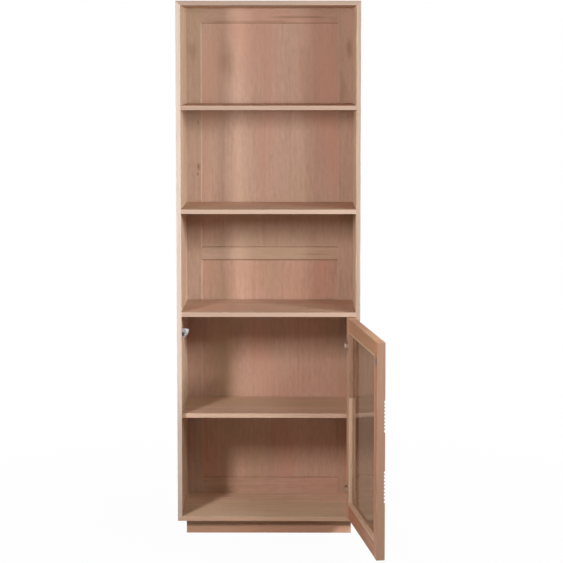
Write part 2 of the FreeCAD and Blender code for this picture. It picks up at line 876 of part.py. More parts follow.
OUTER = ("half_opening + glass_rebate", "opening_low - glass_rebate", "opening_high + glass_rebate")
INNER = ("half_opening", "opening_low", "opening_high")
upright_bead = [
    (OUTER[0], OUTER[1]), (OUTER[0], OUTER[2]), (INNER[0], INNER[2]), (INNER[0], INNER[1]),
]
BEADS = {
    "hinge_side_bead": upright_bead,
    "free_side_bead": mirrored(upright_bead),
    "top_bead": [
        (f"-({OUTER[0]})", OUTER[2]), (OUTER[0], OUTER[2]),
        (INNER[0], INNER[2]), (f"-({INNER[0]})", INNER[2]),
    ],
    "bottom_bead": [
        (f"-({OUTER[0]})", OUTER[1]), (OUTER[0], OUTER[1]),
        (INNER[0], INNER[1]), (f"-({INNER[0]})", INNER[1]),
    ],
}


def faces_glass(edge):
    """Whether a bead's edge lies on the door's inner face, along the sight line of the glass."""
    first, last = (vertex.Point for vertex in (edge.Vertexes[0], edge.Vertexes[-1]))
    if abs(first.y - value("door_inner")) > 1e-6 or abs(last.y - first.y) > 1e-6:
        return False
    inside = value("half_opening") + 1e-6
    low, high = value("opening_low") - 1e-6, value("opening_high") + 1e-6
    return all(abs(end.x) <= inside and low <= end.z <= high for end in (first, last))


for label, corners in BEADS.items():
    strip = profile("XZ_Plane", corners, "bead_depth", ("0", "bead_face", "0"))
    node(label, eased(strip, faces_glass, "bead_round"), swing="1")

# Strike plate for the catch, on the inner face of the free stile

strike = box(
    ("magnet_x - strike_width / 2", "strike_width"),
    ("door_inner", "strike_thickness"),
    ("magnet_level - strike_height / 2", "strike_height"),
)
strike = eased(strike, lambda edge: runs(edge, 1), "strike_width / 6")
node("strike_plate", cut(strike, [small_screw(STRIKE_AT, "-y", "glue_gap")]), swing="1")
node("strike_screw", group([small_screw(STRIKE_AT, "-y", "0")]), swing="1")

# Check every object, then write each sub-part to its own file

doc.recompute()
failed = [piece.Label for piece in doc.Objects if {"Invalid", "Error"} & set(piece.State)]
if failed:
    raise RuntimeError(f"these objects did not build: {failed}")
broken = [piece.Label for piece in nodes if piece.Shape.isNull() or not piece.Shape.isValid()]
if broken:
    raise RuntimeError(f"these sub-parts have no valid shape: {broken}")
os.makedirs("parts", exist_ok=True)
for piece in nodes:
    piece.Shape.exportStep(f"parts/{piece.Label}.step")
    solids = len(piece.Shape.Solids)
    print(f"{piece.Label}: {solids} solid(s), {piece.Shape.Volume / 1000:.2f} cm3")
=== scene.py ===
"""A tall bookcase of pale washed wood: three open bays over a cupboard whose framed glass door stands open.

Metres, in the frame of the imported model: X to the right, Y to the back, Z up from the floor.
"""

import json
import math

import bmesh
import bpy
from mathutils import Matrix, Vector


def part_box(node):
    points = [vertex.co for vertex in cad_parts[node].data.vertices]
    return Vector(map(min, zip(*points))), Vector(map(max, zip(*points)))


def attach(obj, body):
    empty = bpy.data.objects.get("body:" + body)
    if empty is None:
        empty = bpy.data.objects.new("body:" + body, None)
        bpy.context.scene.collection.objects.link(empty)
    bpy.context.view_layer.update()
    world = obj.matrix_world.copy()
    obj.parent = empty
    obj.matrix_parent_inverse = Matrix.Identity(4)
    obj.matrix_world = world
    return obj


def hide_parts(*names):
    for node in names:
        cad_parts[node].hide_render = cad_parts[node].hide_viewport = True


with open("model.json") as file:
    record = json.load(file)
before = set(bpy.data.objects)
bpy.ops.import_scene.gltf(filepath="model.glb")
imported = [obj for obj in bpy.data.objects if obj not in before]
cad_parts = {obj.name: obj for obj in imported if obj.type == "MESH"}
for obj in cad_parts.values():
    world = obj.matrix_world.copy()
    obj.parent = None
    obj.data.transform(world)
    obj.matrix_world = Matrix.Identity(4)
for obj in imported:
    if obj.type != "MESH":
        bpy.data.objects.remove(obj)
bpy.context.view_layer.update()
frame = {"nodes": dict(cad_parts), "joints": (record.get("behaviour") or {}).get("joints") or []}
nodes = frame["nodes"]


# Sides, top and bottom: solid hardwood boards, glued up from staves and mitred together at the corners.
# A thin white wash lets the grain through, with rosy and tan staves side by side, and the front edges
# are sanded back to a tone of their own. Each board's wash and edge tone are painted lighter or darker to
# how the light falls on it.


class Wire:
    """A node socket that can stand in a sum; numbers, other wires and new nodes join on to it."""

    def __init__(self, tree, socket=None):
        self.tree = tree
        self.socket = socket

    def node(self, kind, settings=None, sockets=None, output=0):
        """Add a node: its settings first, then values or wires for its sockets, and return one output."""
        made = self.tree.nodes.new(kind)
        for name, setting in (settings or {}).items():
            setattr(made, name, setting)
        for name, value in (sockets or {}).items():
            wires = value if isinstance(value, list) else [value]
            for wire in wires:
                if isinstance(wire, Wire):
                    self.tree.links.new(wire.socket, made.inputs[name])
                else:
                    made.inputs[name].default_value = wire
        return Wire(self.tree, made.outputs[output])

    def pick(self, output):
        """Another output of the same node."""
        return Wire(self.tree, self.socket.node.outputs[output])

    def feed(self, shader, name):
        """Run this wire into a shader's socket."""
        self.tree.links.new(self.socket, shader.inputs[name])

    def math(self, operation, *values):
        """A Math node on numbers or wires."""
        return self.node("ShaderNodeMath", {"operation": operation}, dict(enumerate(values)))

    def blend(self, first, second):
        """A colour between two, by this wire's value."""
        return self.node(
            "ShaderNodeMix", {"data_type": "RGBA"}, {0: self, 6: rgba(first), 7: rgba(second)}, 2
        )

    def step(self, low, high):
        """A soft step from 0 at low to 1 at high."""
        return self.node(
            "ShaderNodeMapRange",
            {"interpolation_type": "SMOOTHSTEP"},
            {"Value": self, "From Min": low, "From Max": high},
        )

    def __add__(self, other):
        return self.math("ADD", self, other)

    def __radd__(self, other):
        return self.math("ADD", other, self)

    def __sub__(self, other):
        return self.math("SUBTRACT", self, other)

    def __rsub__(self, other):
        return self.math("SUBTRACT", other, self)

    def __mul__(self, other):
        return self.math("MULTIPLY", self, other)

    def __rmul__(self, other):
        return self.math("MULTIPLY", other, self)

    def __truediv__(self, other):
        return self.math("DIVIDE", self, other)

    def __abs__(self):
        return self.math("ABSOLUTE", self)


def rgba(colour):
    """A colour of three numbers with full alpha; a wire stays as it is."""
    return colour if isinstance(colour, Wire) else (*colour, 1.0)


def new_material(name):
    """An empty material with its shader and a first wire."""
    material = bpy.data.materials.new(name)
    material.use_nodes = True
    return material, material.node_tree.nodes["Principled BSDF"], Wire(material.node_tree)


def wear(node, material):
    """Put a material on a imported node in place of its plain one."""
    nodes[node].data.materials.clear()
    nodes[node].data.materials.append(material)


def own_box(board, turned):
    """A board's lowest and highest values along its own axes, with a swung board turned back."""
    corners = [vertex.co for vertex in nodes[board].data.vertices]
    if turned is not None:
        place, angle = turned
        back = Matrix.Rotation(-angle, 3, "Z")
        corners = [back @ (corner - Vector(place)) for corner in corners]
    by_axis = [[corner[axis] for corner in corners] for axis in range(3)]
    return [(min(values), max(values)) for values in by_axis]


PALEST = 0.95


def toned(colour, share):
    """A colour with each of its three parts changed by a share, and none paler than wood can be."""
    return tuple(min(part * change, PALEST) for part, change in zip(colour, share))


PALE_GRAIN = (1.14, 1.14, 1.14)
DARK_GRAIN = (0.72, 0.675, 0.63)
ROSY_STAVE = (1.02, 0.865, 0.815)
TAN_STAVE = (0.87, 0.905, 0.785)
SMUDGE_AND_SHADE = (0.51, 0.43, 0.33)
RUBBED_AND_HIGHLIGHT = (1.28, 1.32, 1.36)
PORE_BROWN = (0.16, 0.085, 0.05)
STAVE_WIDTH = 0.068
HUE_STEP = (0.50, 0.70)
ROSY_SHARE = 0.85
TAN_SHARE = 0.9
JOINT_SHARE = 0.05
PORE_SHARE = 0.20
SANDED_SHARE = 0.94
MARK_RAGGEDNESS = 0.9
GROWTH_RINGS = 15.0
KNOT_PUSH = 0.8
SHADOW_EDGE_BLUR = 0.002
PITH_DEPTH = 0.07
END_RINGS_PER_METRE = 420.0
WAX_ROUGHNESS = 0.42
GRAIN_DEPTH = 0.0006
GRAIN_RELIEF = 0.25

# How far from a face its rubbed corner ends and is full, and how deep a sanded edge is full and ends
RUB_REACH = (0.0026, 0.0004)
SAND_REACH = (0.0004, 0.0022)

# How often each layer of the grain changes in a metre along the fibres and across them, how fine its
# detail is, and how far it is slipped along the board
GRAIN_LAYERS = {
    "ragged": (9.0, 14.0, 3.0, 60.0),
    "broad": (0.6, 4.5, 1.0, 70.0),
    "band": (0.55, 13.0, 2.0, 0.0),
    "hue": (1.1, 5.5, 1.5, 40.0),
    "cloud": (2.4, 3.4, 3.0, 25.0),
    "coarse": (1.7, 80.0, 3.0, 11.0),
    "mottle": (30.0, 95.0, 2.0, 90.0),
    "fine": (7.0, 360.0, 3.0, 3.0),
    "pores": (36.0, 980.0, 1.0, 8.0),
    "rings": (0.5, 8.0, 1.0, 21.0),
}


def board_axes(start, turned):
    """A point's place and facing along its board's own axes, with a swung board turned back."""
    where = start.node("ShaderNodeTexCoord", output="Object")
    facing = where.pick("Normal")
    if turned is not None:
        place, angle = turned
        swung = {"Rotation": (0.0, 0.0, angle)}
        where = start.node(
            "ShaderNodeMapping", {"vector_type": "TEXTURE"}, {"Vector": where, "Location": place, **swung}
        )
        facing = start.node("ShaderNodeMapping", {"vector_type": "TEXTURE"}, {"Vector": facing, **swung})
    return [start.node("ShaderNodeSeparateXYZ", {}, {"Vector": vector}) for vector in (where, facing)]


def dark_marks(u, v, ragged, marks):
    """How dark the knots, smudges and patches of painted shade make a point, each with a ragged rim."""
    smudge_and_shade = 0.0
    for lengthwise, crosswise, half_length, half_width, strength in marks:
        far_along = (u - lengthwise) / half_length
        far_across = (v - crosswise) / half_width
        away = u.math("SQRT", far_along * far_along + far_across * far_across)
        reach = away + (ragged - 0.5) * MARK_RAGGEDNESS
        smudge_and_shade = (1.0 - reach.step(0.1, 1.0)) * strength + smudge_and_shade
    return smudge_and_shade


def near_corner(axes, box):
    """How near a point lies to two or more faces of its board at once."""
    near = []
    for axis, (low, high) in zip("XYZ", box):
        half = (high - low) / 2
        away = abs(axes.pick(axis) - (high + low) / 2)
        near.append(away.step(half - RUB_REACH[0], half - RUB_REACH[1]))
    return near[0] * near[1] + near[1] * near[2] + near[2] * near[0]


def washed_wood(
    board, along, across, seed, wash_and_light,
    edge=None, marks=(), stain_and_shadow=None, turned=None, figure=1.0, gloss=0.09,
):
    """Washed hardwood for one board, its grain along one axis and its staves side by side on another.

    wash_and_light is the board's wash, painted lighter or darker to how the light falls on it, edge is the
    axis and tone of a sanded edge, painted lighter or darker in the same way, marks are the knots, smudges
    and patches of painted shade (place along, place across, half length, half width, strength),
    stain_and_shadow is a level and the painted shadow tone above it, turned is the place and angle of a
    board on the swung door, figure is how strongly the streaks show, and gloss is how much the wax reflects.
    """
    material, shader, start = new_material(f"{board}_wood")
    axes, sides = board_axes(start, turned)
    box = own_box(board, turned)
    deep = ({"X", "Y", "Z"} - {along, across}).pop()
    u, v, w = axes.pick(along), axes.pick(across), axes.pick(deep)

    def streaks(layer):
        """Noise drawn out along the fibres."""
        lengthwise, crosswise, detail, slip = GRAIN_LAYERS[layer]
        spot = start.node(
            "ShaderNodeCombineXYZ",
            {},
            {"X": u * lengthwise + (slip + 3.1 * seed), "Y": v * crosswise + 1.7 * seed, "Z": w * crosswise},
        )
        return start.node("ShaderNodeTexNoise", {}, {"Vector": spot, "Scale": 1.0, "Detail": detail})

    broad, band, cloud = streaks("broad"), streaks("band"), streaks("cloud")
    coarse, mottle, fine = streaks("coarse"), streaks("mottle"), streaks("fine")
    hue, ragged = streaks("hue"), streaks("ragged")
    pores = streaks("pores").step(0.60, 0.72)

    # Knots, smudges and patches of painted shade push the growth rings aside and darken the wood round them
    smudge_and_shade = dark_marks(u, v, ragged, marks)
    rings = start.math("FRACT", streaks("rings") * GROWTH_RINGS + smudge_and_shade * KNOT_PUSH)
    late = rings * rings * rings

    # Each stave has its own chance of tone, and its glue joint barely shows
    place_in_row = v / STAVE_WIDTH + 0.37 * seed
    chance = start.node(
        "ShaderNodeTexWhiteNoise",
        {"noise_dimensions": "1D"},
        {"W": start.math("FLOOR", place_in_row) + 7.3 * seed},
        "Value",
    )
    joint = abs(start.math("FRACT", place_in_row) - 0.5).step(0.488, 0.4995)

    depth = (broad + cloud) * 0.7 + mottle * 0.55 + chance * 0.07 + fine * 0.45 - 0.74
    depth = depth + (band * 0.55 + coarse * 0.75 + late * 0.20 - 0.7) * figure
    colour = depth.blend(toned(wash_and_light, PALE_GRAIN), toned(wash_and_light, DARK_GRAIN))
    colour = (hue.step(*HUE_STEP) * ROSY_SHARE).blend(colour, toned(wash_and_light, ROSY_STAVE))
    colour = ((1.0 - hue).step(*HUE_STEP) * TAN_SHARE).blend(colour, toned(wash_and_light, TAN_STAVE))
    colour = (joint * JOINT_SHARE + pores * PORE_SHARE).blend(colour, PORE_BROWN)
    # Marks darken toward a smudge tone; on the back panels they are patches of painted shade
    if marks:
        colour = smudge_and_shade.blend(colour, toned(wash_and_light, SMUDGE_AND_SHADE))
    # The front edge takes a sanded tone of its own, also painted lighter or darker as light and shade
    if edge is not None:
        facing_axis, tone = edge
        front = box["XYZ".index(facing_axis)][0]
        sanded = 1.0 - axes.pick(facing_axis).step(front + SAND_REACH[0], front + SAND_REACH[1])
        lines = coarse * 0.8 + fine * 0.6 - 0.4
        sanded_and_lit_tone = lines.blend(toned(tone, PALE_GRAIN), toned(tone, DARK_GRAIN))
        colour = (sanded * SANDED_SHARE).blend(colour, sanded_and_lit_tone)
    # Above a level the wood is painted dark as a shadow falling on it
    if stain_and_shadow is not None:
        level, tone = stain_and_shadow
        shadowed = u.step(level - SHADOW_EDGE_BLUR, level + SHADOW_EDGE_BLUR)
        colour = (shadowed * (0.9 - fine * 0.3)).blend(colour, tone)

    # Handling rubs sharp corners paler, unevenly. Upright bevels are painted paler as a highlight, and lying
    # ones darker as painted shade
    ahead = abs(sides.pick("Y"))
    bevel = ahead.step(0.4, 0.6) * (1.0 - ahead.step(0.8, 0.95))
    rubbed = near_corner(axes, box) * (ragged.step(0.35, 0.7) * 0.5)
    paler = rubbed + bevel * (0.26 - fine * 0.3)
    colour = paler.blend(colour, toned(wash_and_light, RUBBED_AND_HIGHLIGHT))
    lying = abs(sides.pick("Z")).step(0.4, 0.6)
    colour = (bevel * lying * (0.70 - fine * 0.5)).blend(colour, toned(wash_and_light, SMUDGE_AND_SHADE))

    # Sawn ends show the growth rings as close arcs, and drink more of the stain
    cut_end = abs(sides.pick(along)).step(0.75, 0.9)
    arc = start.node("ShaderNodeCombineXYZ", {}, {"X": v + chance * 0.4, "Y": w + PITH_DEPTH, "Z": 0.0})
    radius = start.node("ShaderNodeVectorMath", {"operation": "LENGTH"}, {0: arc}, "Value")
    arcs = start.math("FRACT", radius * END_RINGS_PER_METRE + fine * 0.5)
    colour = (cut_end * (0.3 + arcs * 0.35)).blend(colour, toned(wash_and_light, DARK_GRAIN))

    colour.feed(shader, "Base Color")
    (WAX_ROUGHNESS + fine * 0.12 + pores * 0.1 + coarse * 0.04).feed(shader, "Roughness")
    height = coarse * 0.3 + fine * 0.5 - pores * 0.8 + late * 0.2 - joint * 0.5
    bump = start.node(
        "ShaderNodeBump",
        {},
        {"Height": height, "Strength": GRAIN_RELIEF, "Distance": GRAIN_DEPTH},
        "Normal",
    )
    bump.feed(shader, "Normal")
    shader.inputs["Specular IOR Level"].default_value = gloss
    return material


CARCASS_FIGURE = 1.5

# Board, axis of its grain, axis across its staves, its wash and the tone of its sanded front edge, both
# painted lighter or darker board by board as light and shade
CARCASS_BOARDS = (
    ("left_side_panel", "Z", "Y", (0.705, 0.52, 0.41), (0.635, 0.55, 0.485)),
    ("right_side_panel", "Z", "Y", (0.82, 0.62, 0.48), (0.41, 0.30, 0.24)),
    ("top_panel", "X", "Y", (0.57, 0.38, 0.275), (0.41, 0.305, 0.25)),
    ("bottom_panel", "X", "Y", (0.82, 0.61, 0.47), (0.67, 0.445, 0.31)),
)
for seed, (board, along, across, wash_and_light, edge) in enumerate(CARCASS_BOARDS, start=1):
    wear(board, washed_wood(board, along, across, seed, wash_and_light, edge=("Y", edge), figure=CARCASS_FIGURE))


# Loose splines in the mitres and dowels in the shelf ends: plain beech, hidden once glued up.
# They carry no finish.

BEECH = (0.55, 0.38, 0.24)
BEECH_FLECK = (0.36, 0.22, 0.13)
FLECKS_ALONG = 60.0
FLECKS_ACROSS = 700.0


def bare_beech(name, along):
    """Unfinished beech with its short dark flecks."""
    material, shader, start = new_material(name)
    where = start.node("ShaderNodeTexCoord", output="Object")
    axes = start.node("ShaderNodeSeparateXYZ", {}, {"Vector": where})
    stretch = {axis: (FLECKS_ALONG if axis == along else FLECKS_ACROSS) for axis in "XYZ"}
    spot = start.node(
        "ShaderNodeCombineXYZ", {}, {axis: axes.pick(axis) * stretch[axis] for axis in "XYZ"}
    )
    fleck = start.node("ShaderNodeTexNoise", {}, {"Vector": spot, "Scale": 1.0, "Detail": 2.0})
    fleck = fleck.step(0.5, 0.75)
    (fleck * 0.7).blend(BEECH, BEECH_FLECK).feed(shader, "Base Color")
    (0.62 + fleck * 0.1).feed(shader, "Roughness")
    return material


wear("mitre_splines", bare_beech("spline_beech", "Y"))
wear("shelf_dowels", bare_beech("dowel_beech", "X"))


# Shelves: solid boards with the grain running across the bookcase, doweled into the sides.
# Three are flush with the front, and the one in the cupboard is set back behind the door.

SHELF_FIGURE = 1.6
# Shelf, its wash and the tone of its sanded front edge, both painted lighter or darker shelf by shelf as
# light and shade
SHELVES = (
    ("cupboard_shelf", (0.70, 0.49, 0.38), (0.755, 0.547, 0.417)),
    ("divider_shelf", (0.56, 0.38, 0.285), (0.515, 0.37, 0.293)),
    ("middle_shelf", (0.62, 0.42, 0.32), (0.50, 0.37, 0.295)),
    ("upper_shelf", (0.52, 0.325, 0.23), (0.42, 0.30, 0.238)),
)
for seed, (shelf, wash_and_light, edge) in enumerate(SHELVES, start=5):
    wear(shelf, washed_wood(shelf, "X", "Y", seed, wash_and_light, edge=("Y", edge), figure=SHELF_FIGURE))


# Framed back: stiles and rails with tenons, bevelled round two glued-up panels that float in grooves.
# The same wood as the sides, a little rosier, with a knot or dark streak here and there. The darker patches
# on the two panels are painted shade, and the washes differ piece by piece as painted light and shade.

# The lower panel and the right stile have washes of their own, painted apart from the rest as light and
# shade
BACK_WASH = (0.60, 0.428, 0.342)
LOWER_LIT_WASH = (0.64, 0.428, 0.335)
RIGHT_STILE_WASH = (0.56, 0.405, 0.318)
BACK_FIGURE = 0.5

# Piece, axis of its grain, axis across its staves, its wash and its dark marks; the marks on the panels are
# patches of painted shade
BACK_PIECES = (
    (
        "back_left_stile", "Z", "X", BACK_WASH,
        (
            (1.73, -0.285, 0.05, 0.02, 0.35), (1.464, -0.266, 0.014, 0.006, 0.6),
            (1.30, -0.265, 0.020, 0.007, 0.9), (1.272, -0.268, 0.010, 0.006, 0.8),
        ),
    ),
    (
        "back_right_stile", "Z", "X", RIGHT_STILE_WASH,
        ((1.735, 0.294, 0.05, 0.014, 0.55), (1.58, 0.27, 0.10, 0.02, 0.3)),
    ),
    (
        "back_top_rail", "X", "Z", BACK_WASH,
        ((0.12, 1.852, 0.16, 0.006, 0.6), (-0.10, 1.836, 0.22, 0.005, 0.45)),
    ),
    ("back_middle_rail", "X", "Z", BACK_WASH, ((0.17, 0.972, 0.08, 0.004, 0.45),)),
    ("back_bottom_rail", "X", "Z", LOWER_LIT_WASH, ()),
    (
        "back_lower_panel", "Z", "X", LOWER_LIT_WASH,
        ((0.62, -0.12, 0.14, 0.05, 0.2), (0.90, 0.0, 0.20, 0.40, 0.16)),
    ),
    (
        "back_upper_panel", "Z", "X", BACK_WASH,
        ((1.69, -0.158, 0.10, 0.045, 0.38), (1.60, 0.13, 0.22, 0.06, 0.16)),
    ),
)
for seed, (piece, along, across, wash_and_light, marks) in enumerate(BACK_PIECES, start=11):
    wear(piece, washed_wood(piece, along, across, seed, wash_and_light, marks=marks, figure=BACK_FIGURE))


# Plinth: four boards set back from the carcass, with a brace and glued blocks inside.
# The outside is washed like the carcass and painted darker, as shade under the carcass, and the inside is
# left bare.

PLINTH_SHADED_WASH = (0.605, 0.40, 0.28)
PLINTH_BOARDS = (("plinth_front", "X"), ("plinth_back", "X"), ("plinth_left", "Y"), ("plinth_right", "Y"))
for seed, (piece, along) in enumerate(PLINTH_BOARDS, start=21):
    wear(piece, washed_wood(piece, along, "Z", seed, PLINTH_SHADED_WASH))
wear("plinth_brace", bare_beech("brace_beech", "Y"))
wear("plinth_corner_blocks", bare_beech("block_beech", "Z"))


# Magnetic catch: a die-cast zinc bracket on the left wall that carries a slanted oval head.
# A black magnet with a bright pole disc sits in the head, and a black pad against the wall, between it and
# the head, is painted shade for the dark gap there.
# A flange behind the bracket takes the two screws.

CATCH_DEPTH = 0.016
CATCH_FLANGE = 0.002
CATCH_SHY = 0.0008
BRACKET_SHY = 0.0055
BRACKET_FOOT = 0.011
BRACKET_HEAD = 0.017
HEAD_TILT = math.radians(27.0)
HEAD_HALF_LENGTH = 0.0162
HEAD_HALF_WIDTH = 0.0066
HEAD_INSET = 0.0155
HEAD_ROUND = 0.0014
HEAD_SIDES = 36
CAST_CORNER = math.radians(40.0)
PAD_WIDTH = 0.0058
PAD_HEIGHT = 0.013
PAD_SHY = 0.0015


def new_piece(name, mesh, body, slot, *stands_for):
    """Link a finished mesh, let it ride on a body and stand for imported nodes."""
    made = bpy.data.objects.new(name, mesh)
    bpy.context.scene.collection.objects.link(made)
    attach(made, body)
    if stands_for:
        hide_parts(*stands_for)


def push_outline(shape, outline, front, depth):
    """Add a closed solid to a mesh: an outline in X and Z, pushed back along Y."""
    ends = [
        [shape.verts.new((across, level, up)) for across, up in outline] for level in (front, front + depth)
    ]
    faces = [shape.faces.new(ends[0]), shape.faces.new(reversed(ends[1]))]
    for spot in range(len(outline)):
        near, far = ends
        after = (spot + 1) % len(outline)
        faces.append(shape.faces.new((near[after], near[spot], far[spot], far[after])))
    bmesh.ops.recalc_face_normals(shape, faces=faces)
    return faces


def piece_mesh(name, shape, material):
    """A finished mesh out of a shape under construction, smooth but for its sharp corners."""
    mesh = bpy.data.meshes.new(name)
    shape.to_mesh(mesh)
    shape.free()
    mesh.materials.append(material)
    mesh.shade_smooth()
    mesh.set_sharp_from_angle(angle=CAST_CORNER)
    return mesh


def catch_body(name, material):
    """The catch's casting: flange, bracket and the slanted oval head round its magnet."""
    low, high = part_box("catch_housing")
    wall = low.x
    shape = bmesh.new()
    push_outline(
        shape,
        [(wall, low.z), (wall + CATCH_FLANGE, low.z), (wall + CATCH_FLANGE, high.z), (wall, high.z)],
        low.y + CATCH_DEPTH / 2,
        high.y - low.y - CATCH_DEPTH / 2,
    )
    push_outline(
        shape,
        [(wall, low.z), (wall + BRACKET_FOOT, low.z), (wall + BRACKET_HEAD, high.z), (wall, high.z)],
        low.y + BRACKET_SHY,
        CATCH_DEPTH - BRACKET_SHY,
    )
    middle_x, middle_z = wall + HEAD_INSET, (low.z + high.z) / 2
    oval = []
    for turn in range(HEAD_SIDES):
        angle = turn * math.tau / HEAD_SIDES
        up, out = HEAD_HALF_LENGTH * math.cos(angle), HEAD_HALF_WIDTH * math.sin(angle)
        oval.append((
            middle_x + up * math.sin(HEAD_TILT) + out * math.cos(HEAD_TILT),
            middle_z + up * math.cos(HEAD_TILT) - out * math.sin(HEAD_TILT),
        ))
    front = low.y + CATCH_SHY
    head = push_outline(shape, oval, front, CATCH_DEPTH - CATCH_SHY)
    rim = list(head[0].edges)
    bmesh.ops.bevel(shape, geom=rim, offset=HEAD_ROUND, segments=4, profile=0.5, affect="EDGES")
    return piece_mesh(name, shape, material)


def catch_shade_pad(name, material):
    """The black pad between the wall and the head, painted shade for the gap there."""
    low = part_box("catch_housing")[0]
    magnet_low, magnet_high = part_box("catch_magnet")
    middle = (magnet_low.z + magnet_high.z) / 2
    bottom, top = middle - PAD_HEIGHT / 2, middle + PAD_HEIGHT / 2
    shape = bmesh.new()
    push_outline(
        shape,
        [(low.x, bottom), (low.x + PAD_WIDTH, bottom), (low.x + PAD_WIDTH, top), (low.x, top)],
        low.y + PAD_SHY,
        BRACKET_SHY - PAD_SHY,
    )
    return piece_mesh(name, shape, material)


CLOUDS_PER_METRE = 90.0
RUBS_PER_METRE = 900.0
RUB_DEPTH = 0.0002


def plated_metal(name, colour, stain_and_shadow, roughness, metallic=1.0):
    """Plated or cast metal, slightly cloudy, with fine rub marks in its gloss."""
    material, shader, start = new_material(name)
    where = start.node("ShaderNodeTexCoord", output="Object")
    cloud = start.node("ShaderNodeTexNoise", {}, {"Vector": where, "Scale": CLOUDS_PER_METRE, "Detail": 3.0})
    rub = start.node("ShaderNodeTexNoise", {}, {"Vector": where, "Scale": RUBS_PER_METRE, "Detail": 2.0})
    (cloud.step(0.45, 0.8) * 0.6).blend(colour, stain_and_shadow).feed(shader, "Base Color")
    (roughness + rub * 0.12 + cloud * 0.06 - 0.09).feed(shader, "Roughness")
    bump = start.node(
        "ShaderNodeBump", {}, {"Height": rub, "Strength": 0.08, "Distance": RUB_DEPTH}, "Normal"
    )
    bump.feed(shader, "Normal")
    shader.inputs["Metallic"].default_value = metallic
    return material


ZINC = (0.46, 0.44, 0.46)
ZINC_DULL = (0.28, 0.27, 0.29)
zinc = plated_metal("catch_zinc_cast", ZINC, ZINC_DULL, 0.34)
new_piece("catch_casting", catch_body("catch_casting", zinc), "carcass", "catch_zinc", "catch_housing")

BLACK = (0.012, 0.012, 0.013)
BLACK_SPECK = (0.05, 0.05, 0.052)
SPECKS_PER_METRE = 1500.0
DISC_BLUR = 0.0001


def moulded_black(name, disc=None):
    """Matt black with a faint grain; disc is the middle and radius of a bright disc set in its face."""
    material, shader, start = new_material(name)
    where = start.node("ShaderNodeTexCoord", output="Object")
    speck = start.node("ShaderNodeTexNoise", {}, {"Vector": where, "Scale": SPECKS_PER_METRE, "Detail": 2.0})
    colour = speck.blend(BLACK, BLACK_SPECK)
    roughness = 0.45 + speck * 0.25
    if disc is not None:
        middle, radius = disc
        away = start.node("ShaderNodeVectorMath", {"operation": "DISTANCE"}, {0: where, 1: middle}, "Value")
        bright = 1.0 - away.step(radius - DISC_BLUR, radius + DISC_BLUR)
        colour = bright.blend(colour, ZINC)
        roughness = roughness - bright * 0.2
        bright.feed(shader, "Metallic")
    colour.feed(shader, "Base Color")
    roughness.feed(shader, "Roughness")
    return material


POLE_RADIUS = 0.0038
magnet_low, magnet_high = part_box("catch_magnet")
magnet_face = (magnet_low + magnet_high) / 2
magnet_face.y = magnet_low.y
wear("catch_magnet", moulded_black("magnet_ferrite", (magnet_face, POLE_RADIUS)))
# A black pad fills the gap between the wall and the head, as painted shade
shade_black = moulded_black("pad_rubber")
new_piece("catch_shade_pad", catch_shade_pad("catch_shade_pad", shade_black), "carcass", "magnet_black")


# Concealed hinges: pressed steel with a satin nickel plate, an upper and a lower one.
# A plate and an arm are screwed to the right wall, a cup is let into the door, and a link joins them.
# The lower hinge and the upper plate and cup are painted dark and brownish, as shade with the wood reflected
# in them, and the upper arm and link are painted pale, as lit.

NICKEL = (0.92, 0.80, 0.76)
NICKEL_DULL = (0.74, 0.62, 0.57)
SHADED_NICKEL = (0.52, 0.36, 0.27)
SHADED_NICKEL_DULL = (0.40, 0.27, 0.20)
lit_nickel = plated_metal("hinge_bright_nickel", NICKEL, NICKEL_DULL, 0.40, metallic=0.3)
shaded_nickel = plated_metal("hinge_aged_nickel", SHADED_NICKEL, SHADED_NICKEL_DULL, 0.50, metallic=0.3)
for part in ("plate", "cup", "arm", "link"):
    wear(f"lower_hinge_{part}", shaded_nickel)
    wear(f"upper_hinge_{part}", lit_nickel if part in ("arm", "link") else shaded_nickel)


# Door: a tenoned frame of two stiles and two rails in the same wood, hung at the right and open at rest.
# The free stile has two bands of round flutes cut across its outer face, to be gripped by.

HANG = next(joint["pos_m"] for joint in frame["joints"] if joint["name"] == "door_swing")
OPEN_ANGLE = math.radians(97.6)
DOOR_TURN = ((HANG[0], HANG[1], 0.0), OPEN_ANGLE)
DOOR_WASH = (0.565, 0.312, 0.205)
# The free stile's outer edge is painted dark as shade
FREE_EDGE_SHADE = (0.292, 0.176, 0.122)
DOOR_GLOSS = 0.05
DOOR_FIGURE = 1.5
# Piece, grain axis, stave axis, wash and edge; the washes are painted lighter or darker piece by piece as
# light and shade
DOOR_FRAME = (
    ("door_hinge_stile", "Z", "X", (0.70, 0.43, 0.295), None),
    ("door_free_stile", "Z", "X", DOOR_WASH, ("X", FREE_EDGE_SHADE)),
    ("door_top_rail", "X", "Z", DOOR_WASH, None),
    ("door_bottom_rail", "X", "Z", (0.565, 0.295, 0.18), None),
)
for seed, (piece, along, across, wash_and_light, edge) in enumerate(DOOR_FRAME, start=31):
    wear(piece, washed_wood(
        piece, along, across, seed, wash_and_light,
        edge=edge, turned=DOOR_TURN, figure=DOOR_FIGURE, gloss=DOOR_GLOSS,
    ))


# Glass and its beads: one bronze-tinted pane, held from the inside by four mitred strips of the wood.
# The strips are paler than the frame, partly as painted light, and the upper part of the one at the hinges
# is painted dark as shadow.

